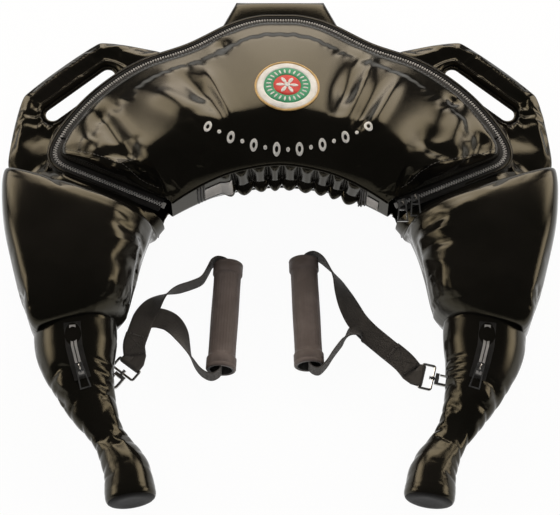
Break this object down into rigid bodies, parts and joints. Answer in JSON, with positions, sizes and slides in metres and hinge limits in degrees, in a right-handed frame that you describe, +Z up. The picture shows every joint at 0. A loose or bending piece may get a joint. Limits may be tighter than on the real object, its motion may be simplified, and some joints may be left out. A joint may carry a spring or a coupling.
{
  "type": "bulgarian bag",
  "caption": "Stuffed crescent training bag of glossy black vinyl with a zipped pouch, two tapered horn handles, slotted flanges and two snap-hooked webbing straps with rubber grips.",
  "frame": {"origin": "on the floor under the middle of the bounding box, bag lying on its back", "axes": "+Z up from the floor, -Y towards the horn tips, +X to the right seen from the horns with the zipped lid up"},
  "size_m": [0.6302, 0.6359, 0.1451],
  "materials": {
    "vinyl": "glossy black vinyl-coated cloth",
    "filling": "packed wool and grain",
    "zip_tape": "woven black tape",
    "zip_metal": "moulded black teeth",
    "steel": "plated steel",
    "webbing": "woven nylon webbing",
    "elastic": "knitted elastic",
    "grip_rubber": "moulded rubber",
    "grip_tube": "plain"
  },
  "bodies": {
    "bag": {"back_panel": "vinyl", "outer_wall": "vinyl", "neck_gather": "vinyl", "neck_elastic": "elastic", "lid_yoke": "vinyl", "pouch_filling": "filling", "zip_tape_outer": "zip_tape", "zip_teeth_outer": "zip_metal", "zip_tape_left": "zip_tape", "zip_tape_right": "zip_tape", "zip_teeth_left": "zip_metal", "zip_teeth_right": "zip_metal", "zip_stop_left": "zip_metal", "zip_stop_right": "zip_metal", "top_flange": "vinyl", "wing_left": "vinyl", "wing_filling_left": "filling", "slot_flange_left": "vinyl", "slot_binding_left": "vinyl", "horn_left": "vinyl", "horn_core_left": "filling", "horn_cap_left": "vinyl", "horn_zip_tape_left": "zip_tape", "horn_zip_teeth_left": "zip_metal", "horn_tab_left": "webbing", "wing_right": "vinyl", "wing_filling_right": "filling", "slot_flange_right": "vinyl", "slot_binding_right": "vinyl", "horn_right": "vinyl", "horn_core_right": "filling", "horn_cap_right": "vinyl", "horn_zip_tape_right": "zip_tape", "horn_zip_teeth_right": "zip_metal", "horn_tab_right": "webbing"},
    "lid": {"pouch_lid": "vinyl", "zip_tape_lid": "zip_tape", "zip_teeth_lid": "zip_metal"},
    "slider_inner": {"slider_inner": "steel"},
    "pull_inner": {"pull_inner": "steel"},
    "slider_outer": {"slider_outer": "steel"},
    "pull_outer": {"pull_outer": "steel"},
    "horn_slider_left": {"horn_slider_left": "steel"},
    "horn_pull_left": {"horn_pull_left": "steel"},
    "snap_hook_left": {"snap_hook_left": "steel"},
    "snap_gate_left": {"snap_gate_left": "steel"},
    "swivel_eye_left": {"swivel_eye_left": "steel"},
    "strap_left": {"strap_web_left": "webbing"},
    "grip_left": {"grip_sleeve_left": "grip_rubber", "grip_tube_left": "grip_tube"},
    "horn_slider_right": {"horn_slider_right": "steel"},
    "horn_pull_right": {"horn_pull_right": "steel"},
    "snap_hook_right": {"snap_hook_right": "steel"},
    "snap_gate_right": {"snap_gate_right": "steel"},
    "swivel_eye_right": {"swivel_eye_right": "steel"},
    "strap_right": {"strap_web_right": "webbing"},
    "grip_right": {"grip_sleeve_right": "grip_rubber", "grip_tube_right": "grip_tube"}
  },
  "joints": [
    {"name": "lid_hinge", "type": "hinge", "parent": "bag", "child": "lid", "pos_m": [0, 0.106, 0.14374], "axis": [1, 0, 0], "range_deg": [0, 100]},
    {"name": "slider_inner_slide", "type": "slide", "parent": "bag", "child": "slider_inner", "axis": [0.9141, 0.4055, 0], "range_m": [0, 0.0015]},
    {"name": "slider_outer_slide", "type": "slide", "parent": "bag", "child": "slider_outer", "axis": [0.9141, 0.4055, 0], "range_m": [0, 0.09]},
    {"name": "pull_inner_hinge", "type": "hinge", "parent": "slider_inner", "child": "pull_inner", "pos_m": [0.13704, 0.02157, 0.0737], "axis": [-1, 0, 0], "range_deg": [0, 110]},
    {"name": "pull_outer_hinge", "type": "hinge", "parent": "slider_outer", "child": "pull_outer", "pos_m": [0.15167, 0.02806, 0.0737], "axis": [-1, 0, 0], "range_deg": [0, 110]},
    {"name": "horn_slider_slide_left", "type": "slide", "parent": "bag", "child": "horn_slider_left", "axis": [-0.2943, 0.883, 0.3656], "range_m": [0, 0.006]},
    {"name": "horn_pull_hinge_left", "type": "hinge", "parent": "horn_slider_left", "child": "horn_pull_left", "pos_m": [-0.21497, -0.17645, 0.07021], "axis": [-0.9487, -0.3162, 0], "range_deg": [0, 150]},
    {"name": "hook_swing_left", "type": "hinge", "parent": "bag", "child": "snap_hook_left", "pos_m": [-0.1845, -0.17, 0.0056], "axis": [0, 0, 1], "range_deg": [-20, 4]},
    {"name": "gate_hinge_left", "type": "hinge", "parent": "snap_hook_left", "child": "snap_gate_left", "pos_m": [-0.18388, -0.16052, 0.0056], "axis": [0, 0, -1], "range_deg": [0, 25], "stiffness_Nm_per_rad": 0.0008, "springref_deg": -11.46},
    {"name": "eye_swivel_left", "type": "hinge", "parent": "snap_hook_left", "child": "swivel_eye_left", "pos_m": [-0.17616, -0.15932, 0.0056], "axis": [0.6157, 0.788, 0], "range_deg": [0, 90]},
    {"name": "strap_lift_left", "type": "hinge", "parent": "swivel_eye_left", "child": "strap_left", "pos_m": [-0.16662, -0.14711, 0.0056], "axis": [0.788, -0.6157, 0], "range_deg": [0, 20]},
    {"name": "grip_spin_left", "type": "hinge", "parent": "strap_left", "child": "grip_left", "pos_m": [-0.062, -0.094, 0.0168], "axis": [0.0523, 0.9986, 0], "continuous": true},
    {"name": "horn_slider_slide_right", "type": "slide", "parent": "bag", "child": "horn_slider_right", "axis": [0.2943, 0.883, 0.3656], "range_m": [0, 0.006]},
    {"name": "horn_pull_hinge_right", "type": "hinge", "parent": "horn_slider_right", "child": "horn_pull_right", "pos_m": [0.21497, -0.17645, 0.07021], "axis": [-0.9487, 0.3162, 0], "range_deg": [0, 150]},
    {"name": "hook_swing_right", "type": "hinge", "parent": "bag", "child": "snap_hook_right", "pos_m": [0.1845, -0.1675, 0.0056], "axis": [0, 0, 1], "range_deg": [-4, 20]},
    {"name": "gate_hinge_right", "type": "hinge", "parent": "snap_hook_right", "child": "snap_gate_right", "pos_m": [0.17818, -0.16041, 0.0056], "axis": [0, 0, 1], "range_deg": [0, 25], "stiffness_Nm_per_rad": 0.0008, "springref_deg": -11.46},
    {"name": "eye_swivel_right", "type": "hinge", "parent": "snap_hook_right", "child": "swivel_eye_right", "pos_m": [0.17135, -0.16422, 0.0056], "axis": [0.9703, -0.2419, 0], "range_deg": [0, 90]},
    {"name": "strap_lift_right", "type": "hinge", "parent": "swivel_eye_right", "child": "strap_right", "pos_m": [0.15631, -0.16047, 0.0056], "axis": [0.2419, 0.9703, 0], "range_deg": [0, 60]},
    {"name": "grip_spin_right", "type": "hinge", "parent": "strap_right", "child": "grip_right", "pos_m": [0.0295, -0.089, 0.0168], "axis": [-0.0436, 0.999, 0], "continuous": true}
  ]
}
